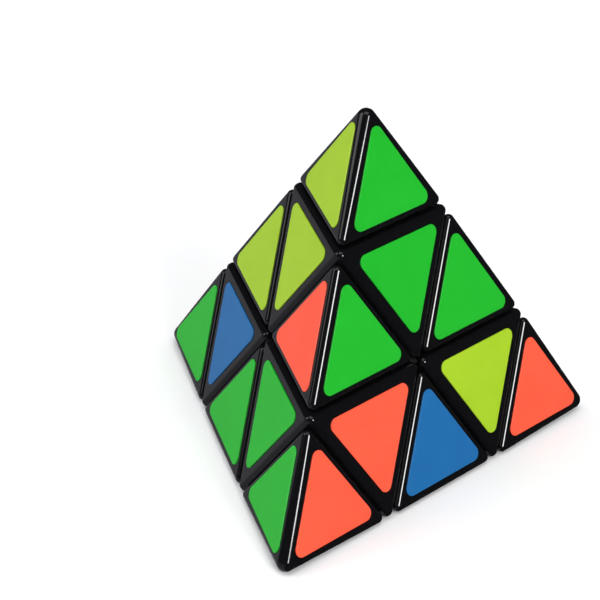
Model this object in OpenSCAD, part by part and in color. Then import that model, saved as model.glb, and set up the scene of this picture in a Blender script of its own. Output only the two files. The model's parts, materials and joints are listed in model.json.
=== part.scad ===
// Pyramid twisty puzzle: four tips, four centre pieces, six edge pieces,
// a ball core with four sprung screws, and a coloured sticker on every facet.
// Units are millimetres. The origin is the middle of the core, where all four
// turning axes meet. +Z runs up through the top tip; the base faces down.

/* [Overall] */

// Edge length of the pyramid, measured between its sharp corners
edge_length = 98; // [80:1:120]
// Gap between neighbouring pieces
piece_gap = 0.3; // [0.2:0.05:0.6]
// Rounding on the edges of every piece
edge_round = 1.2; // [0.6:0.1:2]
// Rounding at the four outer corners
corner_round = 1.9; // [1.2:0.1:3]
// Wall thickness of the hollow edge pieces
shell_wall = 1.5; // [1.2:0.1:2.2]

/* [Stickers] */

// Sticker thickness
sticker_thick = 0.2; // [0.1:0.05:0.5]
// Corner radius of a sticker
sticker_corner = 1.6; // [0.5:0.1:3]
// Distance from the middle of a tip sticker to its sides
tip_sticker_in = 6.8; // [5:0.05:7.6]
// Distance from the middle of an edge sticker to its sides
edge_sticker_in = 7.05; // [5:0.05:7.6]
// Distance from the middle of a centre sticker to its sides
centre_sticker_in = 7.1; // [5:0.05:7.6]

/* [Core] */

// Radius of the core ball
core_radius = 11.85; // [10:0.05:12]
// Radius of the four axis bosses on the core
boss_radius = 4; // [3.5:0.1:4.5]
// Distance from the core's middle to the end of a boss
boss_reach = 16.3; // [15:0.1:17]
// Radial running clearance on the bosses and the tip posts
run_clearance = 0.08; // [0.03:0.01:0.1]

/* [Feet] */

// Outer radius of the feet that hold the edge pieces in
foot_radius = 14.85; // [13:0.05:15.5]
// Distance from the core's middle to the flat sides of a foot
foot_cut = 5.05; // [4.95:0.05:6]
// Radius of the stem that joins a foot to its edge piece
stem_radius = 16.9; // [16:0.1:18]
// Radius that the plug reaches inside its edge piece
plug_radius = 22; // [19:0.5:24]

/* [Fasteners] */

// Radius of the screw shank
shank_radius = 1.45; // [1:0.05:1.6]
// Radius of the screw head
head_radius = 3; // [2.4:0.1:3.4]
// Height of the screw head
head_height = 2.2; // [1.4:0.1:2.4]
// Radius of the washer
washer_radius = 3.6; // [3.2:0.1:3.8]
// Thickness of the washer
washer_thick = 0.5; // [0.3:0.1:0.8]
// Radius of the spring, to the middle of its wire
spring_radius = 2.9; // [2.4:0.1:3.2]
// Radius of the spring wire
wire_radius = 0.25; // [0.2:0.05:0.35]
// Turns in the spring
spring_turns = 5; // [3:1:7]

/* [Show] */

// Which piece to draw

/* [Hidden] */

$fn = 96;
round_fn = 28;
// cutting shapes run this far past the surface they cut
past = 1;
half_gap = piece_gap / 2;
height = edge_length * sqrt(2 / 3);
face_out = height / 4;
layer_cut = height / 12;
tip_cut = 5 * height / 12;
centre_mid = height / 4;
centre_in = height / 6;
cell_in = edge_length / 3 / (2 * sqrt(3));
cell_out = 2 * cell_in;
// stickers sit this much further from the pyramid's own edges
tip_shift = 0.35;
edge_shift = 0.15;

// inside of the centre pieces, all measured along the axis from the origin
floor_low = 16.5;
floor_high = 18.5;
shank_bore = 1.6;
pocket_radius = 4.2;
pocket_rim = 5.6;
hollow_low = 19;
hollow_wide = 11.8;
hollow_narrow = 7.3;
hub_radius = 7;
hub_low = 9;
hub_high = 17;
inner_ball = core_radius + piece_gap;
foot_ball = foot_radius + piece_gap;
stem_slack = 0.1;
shell_ball = stem_radius + stem_slack;
plug_slack = 0.05;
foot_trim = 2.6;

// the screw stack
spring_low = 18.8;
washer_low = 25.5;
head_low = washer_low + washer_thick;
screw_end = 5;
shank_overlap = 0.1;
boss_low = 6;
pilot_radius = 1.5;
pilot_depth = 12.5;
spring_sides = 6;
spring_steps = 10;
spring_rise = washer_low - spring_low - 2 * wire_radius;
recess_width = 0.7;
recess_length = 3.4;
recess_depth = 1.3;

// the tip's snap post
post_radius = pocket_radius - run_clearance;
post_low = 28.8;
post_bore = 2.8;
bead_radius = 4.5;
bead_low = 30.1;
bead_high = 30.9;
groove_radius = 4.62;
groove_low = 29.8;
groove_high = 31.2;
post_length = 16.7;
slot_width = 0.9;
slot_length = 12;
slot_high = 32.7;
bore_high = 36;
tip_hollow = 7.2;
tip_hollow_end = 1.5;
tip_hollow_deep = 17;

screw_steel = "#b9bcc0";
spring_steel = "#c9ccd0";
black = "#101012";
core_grey = "#e8e8e4";
green = "#20c82d";
orange = "#ff6446";
lime = "#b2dc23";
blue = "#196eb4";

// directions from the middle to the four corners
top = [0, 0, 1];
front = [0, -2 * sqrt(2) / 3, -1 / 3];
right = [sqrt(2 / 3), sqrt(2) / 3, -1 / 3];
left = [-sqrt(2 / 3), sqrt(2) / 3, -1 / 3];

sticker_steps = 6;

// the point at heights a, b, c and d along four corner directions; the four
// unit directions add up to nothing, so 3/4 of the weighted sum has them
function spot(p, q, s, t, a, b, c, d) = 0.75 * (a * p + b * q + c * s + d * t);

// the four corners of an edge cell whose two cuts are at a and faces at b
function edge_cell(p, q, s, t, a, b) = [
  spot(p, q, s, t, a, a, b, -2 * a - b),
  spot(p, q, s, t, a, a, -2 * a - b, b),
  spot(p, q, s, t, a, -a - 2 * b, b, b),
  spot(p, q, s, t, -a - 2 * b, a, b, b)
];

// the three base corners of a tip cell cut at a with faces at b
function tip_cell(p, q, s, t, a, b) = [
  spot(p, q, s, t, a, -a - 2 * b, b, b),
  spot(p, q, s, t, a, b, -a - 2 * b, b),
  spot(p, q, s, t, a, b, b, -a - 2 * b)
];

// a point moved square on to the face that is opposite corner s
function onto_face(x, s) = x - (face_out + x * s) * s;

// turns +Z onto a direction
module along(d) {
  rotate([0, acos(d[2] / norm(d)), atan2(d[1], d[0])])
    children();
}

// the solid between four points
module wedge(a, b, c, d) {
  hull()
    polyhedron(points = [a, b, c, d],
      faces = [[0, 1, 2], [0, 3, 1], [1, 3, 2], [2, 3, 0]]);
}

module ball(x, r) {
  translate(x)
    sphere(r = r, $fn = round_fn);
}

module core_shape() {
  difference() {
    union() {
      rotate([90, 0, 0])
        sphere(r = core_radius);
      for (d = [top, front, left, right])
        along(d)
          translate([0, 0, boss_low])
            cylinder(r = boss_radius, h = boss_reach - boss_low);
    }
    for (d = [top, front, left, right])
      along(d)
        translate([0, 0, boss_reach - pilot_depth])
          cylinder(r = pilot_radius, h = pilot_depth + past);
  }
}

module screw_shape() {
  difference() {
    union() {
      translate([0, 0, screw_end])
        cylinder(r = shank_radius, h = head_low - screw_end + shank_overlap);
      translate([0, 0, head_low])
        cylinder(r = head_radius, h = head_height);
    }
    for (turn = [0, 90])
      translate([0, 0, head_low + head_height])
        rotate(turn)
          cube([recess_length, recess_width, 2 * recess_depth], center = true);
  }
}

module washer_shape() {
  translate([0, 0, washer_low])
    difference() {
      cylinder(r = washer_radius, h = washer_thick);
      translate([0, 0, -past])
        cylinder(r = shank_bore, h = washer_thick + 2 * past);
    }
}

// one ring of points around the wire, i steps along the coil
function coil(i) = [
  for (k = [0 : spring_sides - 1])
    let (w = 360 * i / spring_steps, v = 360 * k / spring_sides,
      rad = spring_radius + wire_radius * cos(v))
      [rad * cos(w), rad * sin(w), spring_low + wire_radius
        + spring_rise * i / (spring_turns * spring_steps)
        + wire_radius * sin(v)]
];

module spring_shape() {
  n = spring_turns * spring_steps;
  m = spring_sides;
  pts = [for (i = [0 : n]) each coil(i)];
  skin = [for (i = [0 : n - 1], k = [0 : m - 1]) each [
    [i * m + k, (i + 1) * m + k, (i + 1) * m + (k + 1) % m],
    [i * m + k, (i + 1) * m + (k + 1) % m, i * m + (k + 1) % m]
  ]];
  first = [[for (k = [0 : m - 1]) k]];
  last = [[for (k = [0 : m - 1]) n * m + m - 1 - k]];
  polyhedron(points = pts, faces = concat(skin, first, last));
}

// an axis piece: p is its own corner, the others follow
module centre_block(p, q, s, t) {
  mid = centre_mid * p;
  k = (centre_in - half_gap - edge_round) / centre_in;
  ups = [for (u = [q, s, t]) mid + k * centre_mid * (p + u)];
  downs = [for (u = [q, s, t]) mid - k * centre_mid * (p + u)];
  hull() {
    for (x = concat(ups, downs))
      ball(x, edge_round);
    // flat pads so that each sticker face is true
    for (u = [0, 1, 2]) {
      away = [q, s, t][u];
      others = [for (i = [0, 1, 2]) if (i != u) ups[i]];
      wedge(onto_face(others[0], away), onto_face(others[1], away),
        onto_face(downs[u], away), mid);
    }
  }
}

module centre_shape(p, q, s, t) {
  difference() {
    union() {
      difference() {
        centre_block(p, q, s, t);
        sphere(r = foot_ball);
      }
      along(p)
        translate([0, 0, hub_low])
          cylinder(r = hub_radius, h = hub_high - hub_low);
    }
    sphere(r = inner_ball);
    along(p) {
      cylinder(r = boss_radius + run_clearance, h = floor_low);
      cylinder(r = shank_bore, h = tip_cut);
      translate([0, 0, floor_high])
        cylinder(r = pocket_radius, h = tip_cut);
      translate([0, 0, groove_low])
        cylinder(r = groove_radius, h = groove_high - groove_low);
      rotate_extrude()
        polygon([[pocket_rim, hollow_low], [hollow_wide, hollow_low],
          [hollow_narrow, tip_cut - half_gap], [hollow_narrow, tip_cut + past],
          [pocket_rim, tip_cut + past]]);
    }
  }
}

module tip_shape(p, q, s, t) {
  base = tip_cell(p, q, s, t, tip_cut + half_gap + edge_round,
    edge_round - face_out);
  peak = 3 * (face_out - corner_round) * p;
  hollow_base = tip_cut + half_gap;
  difference() {
    union() {
      difference() {
        hull() {
          for (x = base)
            ball(x, edge_round);
          ball(peak, corner_round);
          wedge(onto_face(base[1], q), onto_face(base[2], q),
            onto_face(peak, q), centre_mid * 2 * p);
          wedge(onto_face(base[0], s), onto_face(base[2], s),
            onto_face(peak, s), centre_mid * 2 * p);
          wedge(onto_face(base[0], t), onto_face(base[1], t),
            onto_face(peak, t), centre_mid * 2 * p);
        }
        along(p)
          translate([0, 0, hollow_base - past])
            cylinder(r1 = tip_hollow, r2 = tip_hollow_end,
              h = tip_hollow_deep + past);
      }
      along(p) {
        translate([0, 0, post_low])
          cylinder(r = post_radius, h = post_length);
        translate([0, 0, bead_low])
          cylinder(r = bead_radius, h = bead_high - bead_low);
      }
    }
    along(p) {
      translate([0, 0, post_low - past])
        cylinder(r = post_bore, h = bore_high - post_low + past);
      for (turn = [0, 90])
        rotate(turn)
          translate([-slot_length / 2, -slot_width / 2, post_low - past])
            cube([slot_length, slot_width, slot_high - post_low + past]);
    }
  }
}

module edge_shape(p, q, s, t) {
  c = edge_cell(p, q, s, t, layer_cut + half_gap + edge_round,
    edge_round - face_out);
  h = edge_cell(p, q, s, t, layer_cut + half_gap + shell_wall,
    shell_wall - face_out);
  mid = (c[0] + c[1] + c[2] + c[3]) / 4;
  difference() {
    hull() {
      for (x = c)
        ball(x, edge_round);
      wedge(onto_face(c[0], s), onto_face(c[2], s), onto_face(c[3], s), mid);
      wedge(onto_face(c[1], t), onto_face(c[2], t), onto_face(c[3], t), mid);
    }
    sphere(r = shell_ball);
    wedge(h[0], h[1], h[2], h[3]);
  }
}

module foot_shape(p, q, s, t) {
  f = edge_cell(p, q, s, t, foot_cut, -face_out);
  c = edge_cell(p, q, s, t, layer_cut + half_gap, -face_out);
  inset = shell_wall + plug_slack;
  h = edge_cell(p, q, s, t, layer_cut + half_gap + inset, inset - face_out);
  difference() {
    union() {
      intersection() {
        sphere(r = foot_radius);
        wedge(f[0], f[1], f[2], f[3]);
      }
      intersection() {
        sphere(r = stem_radius);
        wedge(c[0], c[1], c[2], c[3]);
      }
      intersection() {
        sphere(r = plug_radius);
        wedge(h[0], h[1], h[2], h[3]);
      }
    }
    sphere(r = inner_ball);
    along(-s)
      cylinder(r = foot_trim, h = plug_radius);
    along(-t)
      cylinder(r = foot_trim, h = plug_radius);
  }
}

// a triangle with rounded corners whose sides are r from its middle
function patch(r) = [
  for (side = [0, 1, 2], step = [0 : sticker_steps])
    let (w = 120 * side + 90, v = w - 60 + 120 * step / sticker_steps,
      out = 2 * (r - sticker_corner))
      [out * cos(w) + sticker_corner * cos(v),
        out * sin(w) + sticker_corner * sin(v)]
];

// a sticker on the face opposite corner s: its middle lies far from the
// face's middle in the direction of corner p, flipped or not
module sticker(s, p, far, size, flip) {
  n = -s;
  y = (p + (p * n) * s) / norm(p + (p * n) * s);
  x = cross(y, n);
  multmatrix([
    [x[0], y[0], n[0], face_out * n[0] + far * y[0]],
    [x[1], y[1], n[1], face_out * n[1] + far * y[1]],
    [x[2], y[2], n[2], face_out * n[2] + far * y[2]],
    [0, 0, 0, 1]
  ])
    linear_extrude(height = sticker_thick)
      rotate(flip ? 180 : 0)
        polygon(patch(size));
}

module tip_sticker(s, p) {
  sticker(s, p, 2 * cell_out - tip_shift, tip_sticker_in, false);
}

module centre_sticker(s, p) {
  sticker(s, p, cell_out, centre_sticker_in, true);
}

// u is the face's third corner, across from the edge piece
module edge_sticker(s, u) {
  sticker(s, u, edge_shift - cell_out, edge_sticker_in, false);
}

module core() { color(core_grey) core_shape(); }
module tension_screws() {
  color(screw_steel)
    for (d = [top, front, left, right])
      along(d) screw_shape();
}
module washers() {
  color(screw_steel)
    for (d = [top, front, left, right])
      along(d) washer_shape();
}
module springs() {
  color(spring_steel)
    for (d = [top, front, left, right])
      along(d) spring_shape();
}

module centre_top() { color(black) centre_shape(top, front, left, right); }
module centre_front() { color(black) centre_shape(front, top, left, right); }
module centre_left() { color(black) centre_shape(left, top, front, right); }
module centre_right() { color(black) centre_shape(right, top, front, left); }
module tip_top() { color(black) tip_shape(top, front, left, right); }
module tip_front() { color(black) tip_shape(front, top, left, right); }
module tip_left() { color(black) tip_shape(left, top, front, right); }
module tip_right() { color(black) tip_shape(right, top, front, left); }
module edge_top_front() {
  color(black) edge_shape(top, front, left, right);
}
module edge_top_left() {
  color(black) edge_shape(top, left, front, right);
}
module edge_top_right() {
  color(black) edge_shape(top, right, front, left);
}
module edge_front_left() {
  color(black) edge_shape(front, left, top, right);
}
module edge_front_right() {
  color(black) edge_shape(front, right, top, left);
}
module edge_left_right() {
  color(black) edge_shape(left, right, top, front);
}
module foot_top_front() {
  color(black) foot_shape(top, front, left, right);
}
module foot_top_left() {
  color(black) foot_shape(top, left, front, right);
}
module foot_top_right() {
  color(black) foot_shape(top, right, front, left);
}
module foot_front_left() {
  color(black) foot_shape(front, left, top, right);
}
module foot_front_right() {
  color(black) foot_shape(front, right, top, left);
}
module foot_left_right() {
  color(black) foot_shape(left, right, top, front);
}
module rightface_tip_top() { color(green) tip_sticker(left, top); }
module rightface_tip_front() { color(orange) tip_sticker(left, front); }
module rightface_tip_right() { color(orange) tip_sticker(left, right); }
module rightface_centre_top() { color(green) centre_sticker(left, top); }
module rightface_centre_front() { color(orange) centre_sticker(left, front); }
module rightface_centre_right() { color(lime) centre_sticker(left, right); }
module rightface_edge_top_front() { color(green) edge_sticker(left, right); }
module rightface_edge_top_right() { color(green) edge_sticker(left, front); }
module rightface_edge_front_right() { color(blue) edge_sticker(left, top); }
module leftface_tip_top() { color(lime) tip_sticker(right, top); }
module leftface_tip_front() { color(green) tip_sticker(right, front); }
module leftface_tip_left() { color(green) tip_sticker(right, left); }
module leftface_centre_top() { color(lime) centre_sticker(right, top); }
module leftface_centre_front() { color(green) centre_sticker(right, front); }
module leftface_centre_left() { color(blue) centre_sticker(right, left); }
module leftface_edge_top_front() { color(orange) edge_sticker(right, left); }
module leftface_edge_top_left() { color(lime) edge_sticker(right, front); }
module leftface_edge_front_left() { color(green) edge_sticker(right, top); }
module backface_tip_top() { color(orange) tip_sticker(front, top); }
module backface_tip_left() { color(lime) tip_sticker(front, left); }
module backface_tip_right() { color(lime) tip_sticker(front, right); }
module backface_centre_top() { color(orange) centre_sticker(front, top); }
module backface_centre_left() { color(green) centre_sticker(front, left); }
module backface_centre_right() { color(blue) centre_sticker(front, right); }
module backface_edge_top_left() { color(orange) edge_sticker(front, right); }
module backface_edge_top_right() { color(lime) edge_sticker(front, left); }
module backface_edge_left_right() { color(blue) edge_sticker(front, top); }
module base_tip_front() { color(blue) tip_sticker(top, front); }
module base_tip_left() { color(blue) tip_sticker(top, left); }
module base_tip_right() { color(blue) tip_sticker(top, right); }
module base_centre_front() { color(blue) centre_sticker(top, front); }
module base_centre_left() { color(lime) centre_sticker(top, left); }
module base_centre_right() { color(orange) centre_sticker(top, right); }
module base_edge_front_left() { color(blue) edge_sticker(top, right); }
module base_edge_front_right() { color(lime) edge_sticker(top, left); }
module base_edge_left_right() { color(orange) edge_sticker(top, front); }

core();
tension_screws();
washers();
springs();
centre_top();
centre_front();
centre_left();
centre_right();
tip_top();
tip_front();
tip_left();
tip_right();
edge_top_front();
edge_top_left();
edge_top_right();
edge_front_left();
edge_front_right();
edge_left_right();
foot_top_front();
foot_top_left();
foot_top_right();
foot_front_left();
foot_front_right();
foot_left_right();
rightface_tip_top();
rightface_tip_front();
rightface_tip_right();
rightface_centre_top();
rightface_centre_front();
rightface_centre_right();
rightface_edge_top_front();
rightface_edge_top_right();
rightface_edge_front_right();
leftface_tip_top();
leftface_tip_front();
leftface_tip_left();
leftface_centre_top();
leftface_centre_front();
leftface_centre_left();
leftface_edge_top_front();
leftface_edge_top_left();
leftface_edge_front_left();
backface_tip_top();
backface_tip_left();
backface_tip_right();
backface_centre_top();
backface_centre_left();
backface_centre_right();
backface_edge_top_left();
backface_edge_top_right();
backface_edge_left_right();
base_tip_front();
base_tip_left();
base_tip_right();
base_centre_front();
base_centre_left();
base_centre_right();
base_edge_front_left();
base_edge_front_right();
base_edge_left_right();
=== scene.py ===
import json
import math
import bmesh
import bpy
import numpy as np
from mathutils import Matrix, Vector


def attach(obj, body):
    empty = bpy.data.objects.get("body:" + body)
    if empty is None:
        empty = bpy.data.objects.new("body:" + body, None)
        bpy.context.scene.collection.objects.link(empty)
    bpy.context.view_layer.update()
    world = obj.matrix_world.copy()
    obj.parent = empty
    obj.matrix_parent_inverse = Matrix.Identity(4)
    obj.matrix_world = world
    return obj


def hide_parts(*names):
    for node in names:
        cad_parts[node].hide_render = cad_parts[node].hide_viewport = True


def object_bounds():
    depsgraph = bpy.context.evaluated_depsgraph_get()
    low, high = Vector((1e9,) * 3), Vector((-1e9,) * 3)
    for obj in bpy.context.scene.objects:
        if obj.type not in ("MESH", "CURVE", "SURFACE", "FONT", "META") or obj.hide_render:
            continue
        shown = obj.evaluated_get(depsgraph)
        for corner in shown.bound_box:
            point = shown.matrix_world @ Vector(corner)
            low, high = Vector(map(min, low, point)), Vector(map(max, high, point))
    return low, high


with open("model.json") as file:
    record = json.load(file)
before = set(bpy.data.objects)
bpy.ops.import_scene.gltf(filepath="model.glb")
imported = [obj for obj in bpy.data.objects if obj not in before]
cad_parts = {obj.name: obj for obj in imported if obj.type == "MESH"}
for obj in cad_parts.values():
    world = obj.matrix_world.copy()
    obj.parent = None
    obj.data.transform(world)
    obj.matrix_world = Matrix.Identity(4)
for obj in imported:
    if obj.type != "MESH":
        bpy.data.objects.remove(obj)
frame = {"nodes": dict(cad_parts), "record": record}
cadBox = [list(map(float, p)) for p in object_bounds()]
mm = 0.001

puzzle = {
    "sharpEdge": 98 * mm,     # corner to corner, before any rounding
    "gap": 0.3 * mm,          # between neighbouring pieces
    "edgeRound": 1.2 * mm,
    "cornerRound": 1.9 * mm,  # at the four outer corners
    "arcSteps": 8,            # round each moulded edge
}
faceOut = puzzle["sharpEdge"] * math.sqrt(2 / 3) / 4   # middle to a face
layerCut = faceOut / 3                                 # middle to a layer's cut
tipCut = faceOut * 5 / 3                               # middle to a tip's cut
halfGap = puzzle["gap"] / 2

tolerance = {            # metres
    "onFace": 2e-6,      # a ball reaching this near a face's plane is under that face
    "weld": 2e-7,        # points nearer than this are one point
    "sliver": 1e-8,      # shorter edges are dropped
}

corners = ["top", "front", "left", "right"]
toward = np.array([                                    # middle to each corner
    [0, 0, 1],
    [0, -2 * math.sqrt(2) / 3, -1 / 3],
    [-math.sqrt(2 / 3), math.sqrt(2) / 3, -1 / 3],
    [math.sqrt(2 / 3), math.sqrt(2) / 3, -1 / 3],
])
askew = np.array([0.31, 0.53, 0.79])                   # not in line with any face or axis


def unit(v):
    # every row at length one
    return v / np.linalg.norm(v, axis=-1, keepdims=True)


def fromHeights(h):
    # the point whose heights along the four corner directions are h: three
    # quarters of the sum of each height times its direction
    return 0.75 * np.asarray(h) @ toward


def gridFaces(rows, cols, first=0):
    # four point numbers for each cell of a rows by cols grid of points
    n = np.arange(rows * cols).reshape(rows, cols) + first
    return np.stack([n[:-1, :-1], n[1:, :-1], n[1:, 1:], n[:-1, 1:]], -1).reshape(-1, 4)


def edgeBand(a, b, ra, rb, na, nb, s, t):
    # point (s, t): s of the way from ball a to ball b, out by the radius there
    # along the direction that is t of the way from normal na to normal nb
    n = unit((1 - t) * na + t * nb)
    return (1 - s) * a + s * b + ((1 - s) * ra + s * rb) * n


def cornerCap(a, ra, ns, s, t):
    # point (s, t): out from ball a by its radius along a normal mixed from
    # three or four face normals, with one corner of the square for each
    if len(ns) == 3:
        n = (1 - s) * ns[0] + s * ((1 - t) * ns[1] + t * ns[2])
    else:
        n = ((1 - s) * (1 - t) * ns[0] + s * (1 - t) * ns[1]
             + s * t * ns[2] + (1 - s) * t * ns[3])
    return a + ra * unit(n)


def flatFace(ps, s, t):
    # point (s, t): s of the way from the first corner to the far side, and t
    # of the way along that side
    return (1 - s) * ps[0] + s * ((1 - t) * ps[1] + t * ps[2])


def roundAbout(points, middle, axis):
    # the order of the points by angle about an axis through the middle
    x = unit(np.cross(axis, askew))
    y = np.cross(axis, x)
    d = points - middle
    return np.argsort(np.arctan2(d @ y, d @ x))


def roundedSolid(balls, radii, normals, steps):
    # a flat-sided solid with rolled edges: balls at its corners, a flat face
    # square to each normal, a rolled band on each edge and a cap on each corner
    reach = balls @ normals.T + radii[:, None]
    onFace = reach > reach.max(0) - tolerance["onFace"]
    s, t = np.meshgrid(np.linspace(0, 1, steps + 1), np.linspace(0, 1, steps + 1), indexing="ij")
    s, t = s[..., None], t[..., None]
    ends = np.array([0.0, 1.0])
    se, te = np.meshgrid(ends, np.linspace(0, 1, steps + 1), indexing="ij")
    sf, tf = np.meshgrid(ends, ends, indexing="ij")
    parts = []
    for f, n in enumerate(normals):
        ids = np.flatnonzero(onFace[:, f])
        ps = balls[ids] + radii[ids, None] * n
        ps = ps[roundAbout(ps, ps.mean(0), n)]
        parts.append(flatFace(ps, sf[..., None], tf[..., None]))
    for f in range(len(normals)):
        for g in range(f):
            ids = np.flatnonzero(onFace[:, f] & onFace[:, g])
            if len(ids) == 2:
                a, b = ids
                parts.append(edgeBand(balls[a], balls[b], radii[a], radii[b],
                                      normals[f], normals[g], se[..., None], te[..., None]))
    for a in range(len(balls)):
        ids = np.flatnonzero(onFace[a])
        ns = normals[ids]
        ns = ns[roundAbout(ns, ns.mean(0), unit(ns.mean(0)))]
        parts.append(cornerCap(balls[a], radii[a], ns, s, t))
    return parts


def spun(profile, corner, steps=72):
    # a closed outline of (radius, height) pairs in mm carried round a corner's axis
    outline = np.asarray(profile + profile[:1], float) * mm
    axis = toward[corner]
    x = unit(np.cross(axis, toward[corner - 1]))
    y = np.cross(axis, x)
    w = np.linspace(0, 2 * math.pi, steps + 1)[:, None, None]
    r, h = outline[None, :, :1], outline[None, :, 1:]
    return [r * (np.cos(w) * x + np.sin(w) * y) + h * axis]


def ballSkin(radius, steps=64):
    # a ball about the middle: longitude round, latitude from pole to pole
    w, v = np.meshgrid(np.linspace(0, 2 * math.pi, 2 * steps + 1),
                       np.linspace(-math.pi / 2, math.pi / 2, steps + 1), indexing="ij")
    return [radius * np.stack([np.cos(v) * np.cos(w), np.cos(v) * np.sin(w), np.sin(v)], -1)]


def makeMesh(name, parts):
    # the grids become one mesh, their shared borders are joined, and its
    # faces turned outwards
    points = np.concatenate([p.reshape(-1, 3) for p in parts])
    faces, first = [], 0
    for p in parts:
        faces.append(gridFaces(p.shape[0], p.shape[1], first))
        first += p.shape[0] * p.shape[1]
    mesh = bpy.data.meshes.new(name)
    mesh.from_pydata(points.tolist(), [], np.concatenate(faces).tolist())
    bm = bmesh.new()
    bm.from_mesh(mesh)
    bmesh.ops.remove_doubles(bm, verts=bm.verts, dist=tolerance["weld"])
    bmesh.ops.dissolve_degenerate(bm, edges=bm.edges, dist=tolerance["sliver"])
    bmesh.ops.recalc_face_normals(bm, faces=bm.faces)
    bm.to_mesh(mesh)
    bm.free()
    obj = bpy.data.objects.new(name, mesh)
    bpy.context.scene.collection.objects.link(obj)
    return obj


def carve(obj, cutter):
    # the cutter's room is taken out of the piece, and the cutter is thrown away
    mod = obj.modifiers.new("carve", "BOOLEAN")
    mod.operation = "DIFFERENCE"
    mod.solver = "EXACT"
    mod.object = cutter
    seen = obj.evaluated_get(bpy.context.evaluated_depsgraph_get())
    mesh = bpy.data.meshes.new_from_object(seen)
    obj.modifiers.clear()
    obj.data = mesh
    bpy.data.objects.remove(cutter)


def shade(obj, angle=25):
    # smooth over the rolled edges, crisp where a bore or cut meets a face
    obj.data.shade_smooth()
    obj.data.set_sharp_from_angle(angle=math.radians(angle))
    mod = obj.modifiers.new("trueFaces", "WEIGHTED_NORMAL")
    mod.mode = "FACE_AREA"
    mod.keep_sharp = True


def settle(obj, body, slot, material, *nodes):
    # the piece gets its material, rides its body and stands in for CAD nodes
    obj.data.materials.clear()
    obj.data.materials.append(material)
    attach(obj, body)
    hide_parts(*nodes)


def fromHex(text):
    # sRGB hex to linear
    c = np.array([int(text[i:i + 2], 16) for i in (1, 3, 5)]) / 255
    c = np.where(c <= 0.04045, c / 12.92, ((c + 0.055) / 1.055) ** 2.4)
    return (*c.tolist(), 1.0)


def addNode(tree, kind, settings=None, links=None):
    # one node, its fields and socket values, and what feeds its sockets
    node = tree.nodes.new(kind)
    for key, value in (settings or {}).items():
        if key in node.inputs:
            node.inputs[key].default_value = value
        else:
            setattr(node, key, value)
    for key, source in (links or {}).items():
        tree.links.new(source, node.inputs[key])
    return node


def newMaterial(name, settings):
    # one shader to the output, and the coordinates that its patterns read
    mat = bpy.data.materials.new(name)
    mat.use_nodes = True
    tree = mat.node_tree
    tree.nodes.clear()
    shader = addNode(tree, "ShaderNodeBsdfPrincipled", settings)
    addNode(tree, "ShaderNodeOutputMaterial", links={"Surface": shader.outputs["BSDF"]})
    coords = addNode(tree, "ShaderNodeTexCoord").outputs["Object"]
    return mat, tree, shader, coords


absPlastic = {
    "colour": "#0c0c0e",
    "ior": 1.54, "specular": 0.42,
    "roughness": (0.07, 0.12),     # polished mould, handled
    "sheenPatch": 9 * mm,          # size of the hazier, handled patches
    "patchRange": (0.3, 0.7),      # the noise that goes from clear to hazed
    "grain": 0.35 * mm,            # faint mould texture
    "grainHeight": 0.02 * mm, "grainStrength": 0.05,
}


def mouldedAbs():
    # black ABS from a polished steel mould: deep black with a clear gloss,
    # slightly hazed where fingers rub it
    mat, tree, shader, at = newMaterial("blackMouldedAbs", {
        "Base Color": fromHex(absPlastic["colour"]), "IOR": absPlastic["ior"],
        "Specular IOR Level": absPlastic["specular"]})
    patches = addNode(tree, "ShaderNodeTexNoise", {
        "Scale": 1 / absPlastic["sheenPatch"], "Detail": 3.0, "Roughness": 0.55}, {"Vector": at})
    low, high = absPlastic["roughness"]
    clear, hazed = absPlastic["patchRange"]
    rough = addNode(tree, "ShaderNodeMapRange", {
        "From Min": clear, "From Max": hazed, "To Min": low, "To Max": high},
        {"Value": patches.outputs["Fac"]})
    grain = addNode(tree, "ShaderNodeTexNoise", {
        "Scale": 1 / absPlastic["grain"], "Detail": 2.0}, {"Vector": at})
    bump = addNode(tree, "ShaderNodeBump", {
        "Strength": absPlastic["grainStrength"], "Distance": absPlastic["grainHeight"]},
        {"Height": grain.outputs["Fac"]})
    tree.links.new(rough.outputs["Result"], shader.inputs["Roughness"])
    tree.links.new(bump.outputs["Normal"], shader.inputs["Normal"])
    return mat


mixInputs = (0, 6, 7)              # a Mix node's factor and its two colours
mixColour = 2                      # its mixed colour

film = {
    "green": ("#08ae1a", "#10b724"),
    "orange": ("#ff4f30", "#ff5b3a"),
    "lime": ("#9cc40e", "#a6cc1a"),
    "blue": ("#04609f", "#0a6aa9"),
    "ior": 1.5, "specular": 0.6, "roughness": 0.32,
    "mottle": 7 * mm,              # slow change of the film's colour
    "peel": 0.6 * mm,              # slight waviness of the pressed film
    "peelHeight": 0.02 * mm, "peelStrength": 0.06,
}


def vinylFilm(name):
    # cast vinyl film with its colour right through and a satin face
    mat, tree, shader, at = newMaterial(name + "VinylFilm", {
        "IOR": film["ior"], "Specular IOR Level": film["specular"], "Roughness": film["roughness"]})
    mottle = addNode(tree, "ShaderNodeTexNoise", {
        "Scale": 1 / film["mottle"], "Detail": 2.0}, {"Vector": at})
    dark, light = film[name]
    tone = addNode(tree, "ShaderNodeMix", {"data_type": "RGBA"})
    share, first, second = mixInputs
    tone.inputs[first].default_value = fromHex(dark)
    tone.inputs[second].default_value = fromHex(light)
    tree.links.new(mottle.outputs["Fac"], tone.inputs[share])
    peel = addNode(tree, "ShaderNodeTexNoise", {
        "Scale": 1 / film["peel"], "Detail": 1.0}, {"Vector": at})
    bump = addNode(tree, "ShaderNodeBump", {
        "Strength": film["peelStrength"], "Distance": film["peelHeight"]},
        {"Height": peel.outputs["Fac"]})
    tree.links.new(tone.outputs[mixColour], shader.inputs["Base Color"])
    tree.links.new(bump.outputs["Normal"], shader.inputs["Normal"])
    return mat


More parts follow.
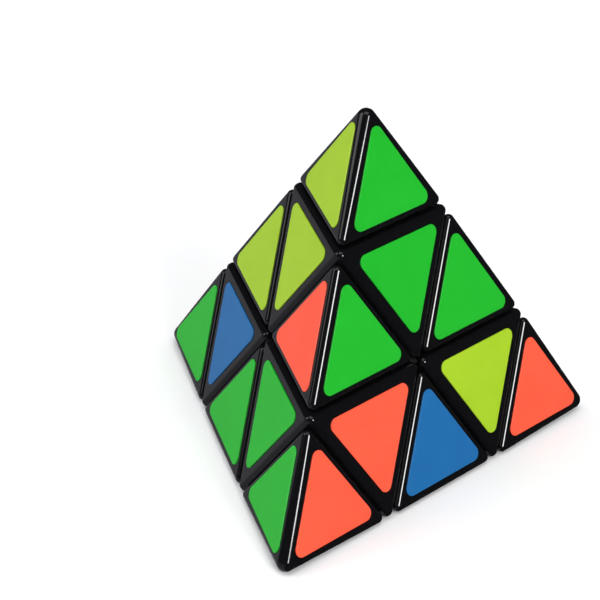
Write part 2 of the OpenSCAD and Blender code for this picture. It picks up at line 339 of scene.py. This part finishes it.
metal = {
    "screw": ("#b4b8be", 0.28),    # colour and roughness
    "spring": ("#c3c6ca", 0.22),
    "grit": 0.25 * mm,
    "spread": (-0.06, 0.1),        # the grain's change of roughness
}


def drawnSteel(name):
    # bright steel with a fine drawn or plated grain
    colour, roughness = metal[name]
    mat, tree, shader, at = newMaterial(name + "Steel", {
        "Base Color": fromHex(colour), "Metallic": 1.0})
    grit = addNode(tree, "ShaderNodeTexNoise", {
        "Scale": 1 / metal["grit"], "Detail": 3.0}, {"Vector": at})
    less, more = metal["spread"]
    rough = addNode(tree, "ShaderNodeMapRange", {
        "To Min": roughness + less, "To Max": roughness + more}, {"Value": grit.outputs["Fac"]})
    tree.links.new(rough.outputs["Result"], shader.inputs["Roughness"])
    return mat


acetalResin = {
    "colour": "#e6e5df",
    "ior": 1.48, "cloudy": 0.05,
    "waxPatch": 4 * mm, "roughness": (0.36, 0.5),
}


def acetal():
    # natural white acetal from a mould, waxy and slightly translucent to the eye
    mat, tree, shader, at = newMaterial("naturalAcetal", {
        "Base Color": fromHex(acetalResin["colour"]), "IOR": acetalResin["ior"],
        "Subsurface Weight": acetalResin["cloudy"]})
    waxy = addNode(tree, "ShaderNodeTexNoise", {
        "Scale": 1 / acetalResin["waxPatch"], "Detail": 3.0}, {"Vector": at})
    low, high = acetalResin["roughness"]
    rough = addNode(tree, "ShaderNodeMapRange", {
        "To Min": low, "To Max": high}, {"Value": waxy.outputs["Fac"]})
    tree.links.new(rough.outputs["Result"], shader.inputs["Roughness"])
    return mat


black = mouldedAbs()
films = {name: vinylFilm(name) for name in ("green", "orange", "lime", "blue")}
print("materials made")


def boxFaces(middle, axes, halves):
    # point (s, t) of each of six flats: out from the middle along one axis by
    # its half size, and s and t of the half sizes along the other two
    s, t = np.meshgrid([-1.0, 1.0], [-1.0, 1.0], indexing="ij")
    arms = axes * np.asarray(halves)[:, None]
    return [middle + side * arms[k] + s[..., None] * arms[k - 2] + t[..., None] * arms[k - 1]
            for k in range(3) for side in (-1, 1)]


def squareAbout(corner):
    # two directions across a corner's axis, and the axis: the first leans
    # away from the middle, the second is level
    axis = toward[corner]
    turn = math.atan2(axis[1], axis[0])
    level = np.array([-math.sin(turn), math.cos(turn), 0.0])
    return np.array([np.cross(level, axis), level, axis])


tipPiece = {                                             # mm: radii, and heights from the middle
    "mouth": 7.2, "end": 1.5, "from": 32.49, "to": 50.49,   # conical hollow
    "post": 4.12, "postFrom": 28.8, "postTo": 45.5,
    "bore": 2.8, "boreTo": 36,
    "bead": 4.5, "beadFrom": 30.1, "beadLow": 30.3, "beadHigh": 30.7, "beadTo": 30.9,
    "slitLong": 12, "slitWide": 0.9, "slitFrom": 27.8, "slitTo": 32.7,   # lets the post spring
}


def postOutline(t):
    # out across the post's foot, up over the bead and the rod, in across its
    # top, and back down its bore
    return [(t["bore"], t["postFrom"]), (t["post"], t["postFrom"]), (t["post"], t["beadFrom"]),
            (t["bead"], t["beadLow"]), (t["bead"], t["beadHigh"]), (t["post"], t["beadTo"]),
            (t["post"], t["postTo"]), (0, t["postTo"]), (0, t["boreTo"]), (t["bore"], t["boreTo"])]


def makeTip(c):
    # three balls over the cut and one at the corner, wrapped in rolled faces,
    # less a cone about the axis; the post is a spun outline less two crossed boxes
    r, rc = puzzle["edgeRound"], puzzle["cornerRound"]
    others = [k for k in range(4) if k != c]
    base, out = tipCut + halfGap + r, r - faceOut
    balls = []
    for k in others:
        h = np.full(4, out)
        h[c], h[k] = base, -base - 2 * out
        balls.append(fromHeights(h))
    balls.append(3 * (faceOut - rc) * toward[c])
    radii = np.array([r, r, r, rc])
    normals = np.array([-toward[c]] + [-toward[k] for k in others])
    obj = makeMesh("tipShell_" + corners[c],
                   roundedSolid(np.array(balls), radii, normals, puzzle["arcSteps"]))
    t = tipPiece
    carve(obj, makeMesh("hollow", spun([(0, t["from"]), (t["mouth"], t["from"]),
                                        (t["end"], t["to"]), (0, t["to"])], c)))
    post = makeMesh("post", spun(postOutline(t), c))
    axes = squareAbout(c)
    middle = (t["slitFrom"] + t["slitTo"]) / 2 * mm * toward[c]
    long, wide = t["slitLong"] * mm / 2, t["slitWide"] * mm / 2
    high = (t["slitTo"] - t["slitFrom"]) * mm / 2
    for halves in ((long, wide, high), (wide, long, high)):
        carve(post, makeMesh("slit", boxFaces(middle, axes, halves)))
    bm = bmesh.new()                    # shell and post, each closed, in one mesh
    bm.from_mesh(obj.data)
    bm.from_mesh(post.data)
    bm.to_mesh(obj.data)
    bm.free()
    bpy.data.objects.remove(post)
    shade(obj)
    name = corners[c]
    settle(obj, name + "_tip", "black_plastic", black, "tip_" + name)


centrePiece = {                                          # mm: radii, and heights from the middle
    "footBall": 15.15, "coreBall": 12.15, "hub": 7.0,       # rooms for the feet and the core
    "footSteps": 14, "coreSteps": 6,
    "bossBore": 4.08, "shankBore": 1.6,
    "floorLow": 16.5, "floorHigh": 18.5,                    # the floor under the spring
    "pocket": 4.2, "rim": 5.6, "rimTop": 33.6,              # the spring's tube
    "groove": 4.62, "grooveLow": 29.8, "grooveHigh": 31.2,  # takes the tip's bead
    "hollowWide": 11.8, "hollowNarrow": 7.3, "hollowLow": 19, "hollowHigh": 33.18,
    "low": 4.0, "high": 34.6,                               # clear of the piece at both ends
    "blend": 0.6,                                           # depth over which a raised face fades
}


def arcPoints(radius, fromWide, toWide, steps):
    # points on a circle about the middle, from one distance off the axis to another
    w = np.linspace(math.asin(fromWide / radius), math.asin(toWide / radius), steps)
    return list(zip((radius * np.sin(w)).tolist(), (radius * np.cos(w)).tolist()))


def boreOutline(p):
    # out from the axis, up round the feet's ball to the hub, round the core's
    # ball to the boss bore, and on up through floor, pocket and groove; then over
    # the tube's rim, down its outside, and up the hollow to above the piece
    wide = math.sqrt(p["footBall"] ** 2 - p["low"] ** 2)
    return ([(0, p["low"])] + arcPoints(p["footBall"], wide, p["hub"], p["footSteps"])
            + arcPoints(p["coreBall"], p["hub"], p["bossBore"], p["coreSteps"])
            + [(p["bossBore"], p["floorLow"]), (p["shankBore"], p["floorLow"]),
               (p["shankBore"], p["floorHigh"]), (p["pocket"], p["floorHigh"]),
               (p["pocket"], p["grooveLow"]), (p["groove"], p["grooveLow"]),
               (p["groove"], p["grooveHigh"]), (p["pocket"], p["grooveHigh"]),
               (p["pocket"], p["rimTop"]), (p["rim"], p["rimTop"]), (p["rim"], p["hollowLow"]),
               (p["hollowWide"], p["hollowLow"]), (p["hollowNarrow"], p["hollowHigh"]),
               (p["hollowNarrow"], p["high"]), (0, p["high"])])


def raiseFaces(obj, others, blend):
    # each point moves out by half a gap times the square of (1 - depth / blend),
    # depth being how far it lies under an outer face of the block, so that the
    # face itself comes level with the puzzle's and the rolled edges fade into it
    co = np.empty(len(obj.data.vertices) * 3)
    obj.data.vertices.foreach_get("co", co)
    co = co.reshape(-1, 3)
    lift = np.zeros_like(co)
    for k in others:
        depth = faceOut - halfGap + co @ toward[k]
        lift -= halfGap * np.clip(1 - depth / blend, 0, 1)[:, None] ** 2 * toward[k]
    obj.data.vertices.foreach_set("co", (co + lift).ravel())


def makeCentre(c):
    # an eight-sided block: six balls out from its middle along the lines to the
    # other corners, and back again, wrapped in rolled faces, less its bores
    r = puzzle["edgeRound"]
    others = [k for k in range(4) if k != c]
    shrink = 1 - (halfGap + r) / (faceOut * 2 / 3)
    middle = faceOut * toward[c]
    arms = np.array([faceOut * (toward[c] + toward[k]) for k in others]) * shrink
    balls = np.concatenate([middle + arms, middle - arms])
    normals = np.concatenate([toward, -toward])
    obj = makeMesh("centreShell_" + corners[c],
                   roundedSolid(balls, np.full(6, r), normals, puzzle["arcSteps"]))
    p = centrePiece
    raiseFaces(obj, others, p["blend"] * mm)
    carve(obj, makeMesh("bores", spun(boreOutline(p), c)))
    shade(obj)
    name = corners[c]
    settle(obj, name + "_centre", "black_plastic", black, "centre_" + name)


edgePiece = {
    "wall": 1.5 * mm,
    "ball": 17.0 * mm,       # room for the core, the hubs and the feet
    "roomRound": 1e-5,       # the room's corners, sharp for the eye
}


def edgeCell(c, d, inset):
    # the four corners of an edge piece's cell with every side moved in by inset
    a, b = layerCut + halfGap + inset, inset - faceOut
    rest = [k for k in range(4) if k not in (c, d)]
    points = []
    for free in (rest[1], rest[0], d, c):
        h = np.full(4, b)
        h[c] = h[d] = a
        h[free] = 0
        h[free] = -h.sum()
        points.append(fromHeights(h))
    return np.array(points)


def makeEdge(c, d):
    # a ball at each of the cell's four corners, wrapped in rolled faces, less a
    # ball about the middle and a smaller cell a wall's thickness inside
    r = puzzle["edgeRound"]
    rest = [k for k in range(4) if k not in (c, d)]
    normals = np.array([-toward[c], -toward[d]] + [-toward[k] for k in rest])
    name = corners[c] + "_" + corners[d]
    obj = makeMesh("edgeShell_" + name,
                   roundedSolid(edgeCell(c, d, r), np.full(4, r), normals, puzzle["arcSteps"]))
    carve(obj, makeMesh("ballRoom", ballSkin(edgePiece["ball"])))
    room = edgeCell(c, d, edgePiece["wall"])
    carve(obj, makeMesh("room", roundedSolid(room, np.full(4, edgePiece["roomRound"]), normals, 1)))
    shade(obj)
    settle(obj, name + "_edge", "black_plastic", black, "edge_" + name)


for c in range(4):
    makeTip(c)
    makeCentre(c)
    for d in range(c):
        makeEdge(d, c)
print("black pieces made")


sticker = {
    "thick": 0.2 * mm,
    "cornerRadius": 1.6 * mm,
    "rolled": 0.06 * mm,                       # softened cut edge of the film
    "tip": 6.8 * mm, "edge": 7.05 * mm, "centre": 7.1 * mm,   # middle to a side
    "tipShift": 0.35 * mm, "edgeShift": 0.15 * mm,
    "arcSteps": 12, "rollSteps": 5,
    "crispAngle": 50,                          # degrees; sharper edges stay crisp
}
cellOut = puzzle["sharpEdge"] / 3 / math.sqrt(3)
sides = {"rightface": 2, "leftface": 3, "backface": 1, "base": 0}   # the corner each face is opposite


def stickerSkin(size, flip):
    # (t, s): t goes round a triangle with rounded corners; s goes from the
    # middle of the top, out to the rim, over a rolled edge and under to the middle
    s, rc, roll, thick = sticker, sticker["cornerRadius"], sticker["rolled"], sticker["thick"]
    turn = np.concatenate([np.linspace(30 + 120 * k, 150 + 120 * k, s["arcSteps"])
                           for k in range(3)])
    turn = np.radians(np.append(turn, turn[0]))[:, None]
    mid = np.radians(np.repeat([90, 210, 330], s["arcSteps"]))
    mid = np.append(mid, mid[0])[:, None]
    rollTurn = np.linspace(0, math.pi / 2, s["rollSteps"])[1:]
    inset = np.concatenate([[0.0, roll], roll - roll * np.sin(rollTurn), [0.0, 0.0]])
    height = np.concatenate([[thick, thick], thick - roll + roll * np.cos(rollTurn), [0.0, 0.0]])
    fill = np.ones(len(inset))
    fill[[0, -1]] = 0.0                 # both ends are the sticker's middle
    out = 2 * (size - rc)
    x = fill * (out * np.cos(mid) + (rc - inset) * np.cos(turn))
    y = fill * (out * np.sin(mid) + (rc - inset) * np.sin(turn))
    z = np.broadcast_to(height, x.shape)
    sign = -1 if flip else 1
    return np.stack([sign * x, sign * y, z], -1)


def makeSticker(node, face, corner, far, size, flip, body, colour):
    # the skin laid on a face, far out from its middle towards a corner
    n = -toward[face]
    up = unit(toward[corner] - (toward[corner] @ n) * n)
    x = np.cross(up, n)
    local = stickerSkin(size, flip)
    place = faceOut * n + far * up
    points = place + local[..., :1] * x + local[..., 1:2] * up + local[..., 2:] * n
    obj = makeMesh("film_" + node, [points])
    shade(obj, sticker["crispAngle"])
    settle(obj, body, "sticker_" + colour, films[colour], node)


slotOf = {s["node"]: s["material_slot"] for s in frame["record"]["subparts"]}
count = 0
for node, slot in slotOf.items():
    if not slot.startswith("sticker_"):
        continue
    faceName, kind, *where = node.split("_")
    face = sides[faceName]
    colour = slot.split("_")[1]
    if kind == "tip":
        c = corners.index(where[0])
        makeSticker(node, face, c, 2 * cellOut - sticker["tipShift"], sticker["tip"], False,
                    where[0] + "_tip", colour)
    elif kind == "centre":
        c = corners.index(where[0])
        makeSticker(node, face, c, cellOut, sticker["centre"], True, where[0] + "_centre", colour)
    else:
        across = [k for k in range(4) if k != face and corners[k] not in where][0]
        makeSticker(node, face, across, sticker["edgeShift"] - cellOut, sticker["edge"], False,
                    "_".join(where) + "_edge", colour)
    count += 1
print("stickers made:", count)


inner = {"core": acetal(), "tension_screws": drawnSteel("screw"), "washers": drawnSteel("screw"),
         "springs": drawnSteel("spring")}
for name, node in frame["nodes"].items():
    mat = inner.get(name) or (black if name.startswith("foot_") else None)
    if mat:
        node.data.materials.clear()
        node.data.materials.append(mat)
print("inner pieces finished")


studio = {
    "floorColour": "#fafafa", "floorHalf": 1.6, "floorSteps": 9,
    "floorDrop": 1e-5,                         # under the lowest sticker
    "air": "#f4f5f7", "airPower": 0.78,        # soft light from all around
    "surround": 3.0, "surroundSteps": 24,
    "surroundTop": 1.5,                        # latitude where the ball stops, in radians
    # painted reflections on the pieces' gloss: a dark grey glow all round, and a pale glow low on the
    # left standing in for the floor's reflection
    "paintedDarkReflection": "#2c2c2e", "reflectionBallBase": "#020202", "paintedFloorReflection": "#909096",
    "floorReflectionLow": (0.0, -0.15),                   # height where the painted floor reflection starts and is full
    "floorReflectionLeft": (0.3, -0.3),                   # and how far across the painted floor reflection reaches
    "lamps": [  # name, place, size across and up, power in watts, lights the matt surfaces too
        ("keyLamp", (0.55, -0.60, 0.50), 0.30, 0.30, 3.4, True),
        ("fillLamp", (-0.70, -0.25, 0.60), 0.60, 0.60, 2.2, True),
        ("topLamp", (0.0, -0.20, 1.30), 0.9, 0.9, 4.0, True),
        ("shineStrip", (0.57, -0.60, 0.50), 0.24, 0.34, 4.2, False),
    ],
    "cameraAt": (0.08497, -0.41295, 0.25352),
    "cameraTurn": (59.016, -3.147, 13.171),
    "lens": 141.44, "sensor": 36, "clip": (0.01, 20),
    "shift": (-0.1069, 0.0837),
}


def makeFloor():
    # a flat sheet on a grid of two parameters, just under the lowest sticker
    span = np.linspace(-1, 1, studio["floorSteps"])
    s, t = np.meshgrid(span, span, indexing="ij")
    half = studio["floorHalf"]
    level = np.full_like(s, cadBox[0][2] - studio["floorDrop"])
    obj = makeMesh("floor", [np.stack([half * s, half * t, level], -1)])
    mat = newMaterial("floorPaint", {
        "Base Color": fromHex(studio["floorColour"]), "Roughness": 0.9})[0]
    if obj.data.polygons[0].normal.z < 0:
        obj.data.flip_normals()
    obj.data.materials.append(mat)
    # the gloss does not see the floor; the surround's painted floor reflection stands in for it
    obj.visible_glossy = False


def makeSurround():
    # a glowing ball that only the gloss of the pieces sees, as painted reflection: x = cos u
    # cos v, y = sin u cos v, z = sin v, dark grey all round and pale low on the left as a painted floor
    # reflection
    steps, top = studio["surroundSteps"], studio["surroundTop"]
    u, v = np.meshgrid(np.linspace(0, 2 * np.pi, 2 * steps + 1),
                       np.linspace(-top, top, steps + 1), indexing="ij")
    ball = np.stack([np.cos(u) * np.cos(v), np.sin(u) * np.cos(v), np.sin(v)], -1)
    obj = makeMesh("surround", [studio["surround"] * ball])
    mat, tree, shader, at = newMaterial("paintedDarkReflection", {
        "Base Color": fromHex(studio["reflectionBallBase"]), "Specular IOR Level": 0.0, "Emission Strength": 1.0})
    apart = addNode(tree, "ShaderNodeSeparateXYZ", links={"Vector": at})
    start, full = studio["floorReflectionLow"]
    low = addNode(tree, "ShaderNodeMapRange", {
        "From Min": start, "From Max": full}, {"Value": apart.outputs["Z"]})
    start, full = studio["floorReflectionLeft"]
    side = addNode(tree, "ShaderNodeMapRange", {
        "From Min": start, "From Max": full}, {"Value": apart.outputs["X"]})
    both = addNode(tree, "ShaderNodeMath", {"operation": "MULTIPLY"})
    tree.links.new(low.outputs["Result"], both.inputs[0])
    tree.links.new(side.outputs["Result"], both.inputs[1])
    # painted reflection: dark grey glow, mixed towards the pale painted floor reflection low on the left
    tone = addNode(tree, "ShaderNodeMix", {"data_type": "RGBA"})
    share, first, second = mixInputs
    tone.inputs[first].default_value = fromHex(studio["paintedDarkReflection"])
    tone.inputs[second].default_value = fromHex(studio["paintedFloorReflection"])
    tree.links.new(both.outputs["Value"], tone.inputs[share])
    tree.links.new(tone.outputs[mixColour], shader.inputs["Emission Color"])
    obj.data.materials.append(mat)
    obj.visible_camera = obj.visible_diffuse = False
    obj.visible_shadow = obj.visible_transmission = False


def makeLight():
    # pale air for the matt surfaces only, and square lamps turned to the middle
    world = bpy.data.worlds.new("studio")
    bpy.context.scene.world = world
    world.use_nodes = True
    back = world.node_tree.nodes["Background"]
    back.inputs["Color"].default_value = fromHex(studio["air"])
    back.inputs["Strength"].default_value = studio["airPower"]
    world.cycles_visibility.glossy = False
    for name, place, wide, tall, power, matt in studio["lamps"]:
        lamp = bpy.data.lights.new(name, "AREA")
        lamp.shape, lamp.size, lamp.size_y, lamp.energy = "RECTANGLE", wide, tall, power
        obj = bpy.data.objects.new(name, lamp)
        obj.location = place
        obj.rotation_euler = (-obj.location).to_track_quat("-Z", "Y").to_euler()
        obj.visible_diffuse = matt
        bpy.context.scene.collection.objects.link(obj)
    bpy.context.scene.view_settings.view_transform = "Standard"


def makeCamera():
    # a long lens from the front, above and a little to the right
    cam = bpy.data.cameras.new("camera")
    cam.lens, cam.sensor_width = studio["lens"], studio["sensor"]
    cam.shift_x, cam.shift_y = studio["shift"]
    cam.clip_start, cam.clip_end = studio["clip"]
    obj = bpy.data.objects.new("camera", cam)
    obj.location = studio["cameraAt"]
    obj.rotation_euler = [math.radians(a) for a in studio["cameraTurn"]]
    bpy.context.scene.collection.objects.link(obj)
    bpy.context.scene.camera = obj


makeFloor()
makeSurround()
makeLight()
makeCamera()
print("studio made")
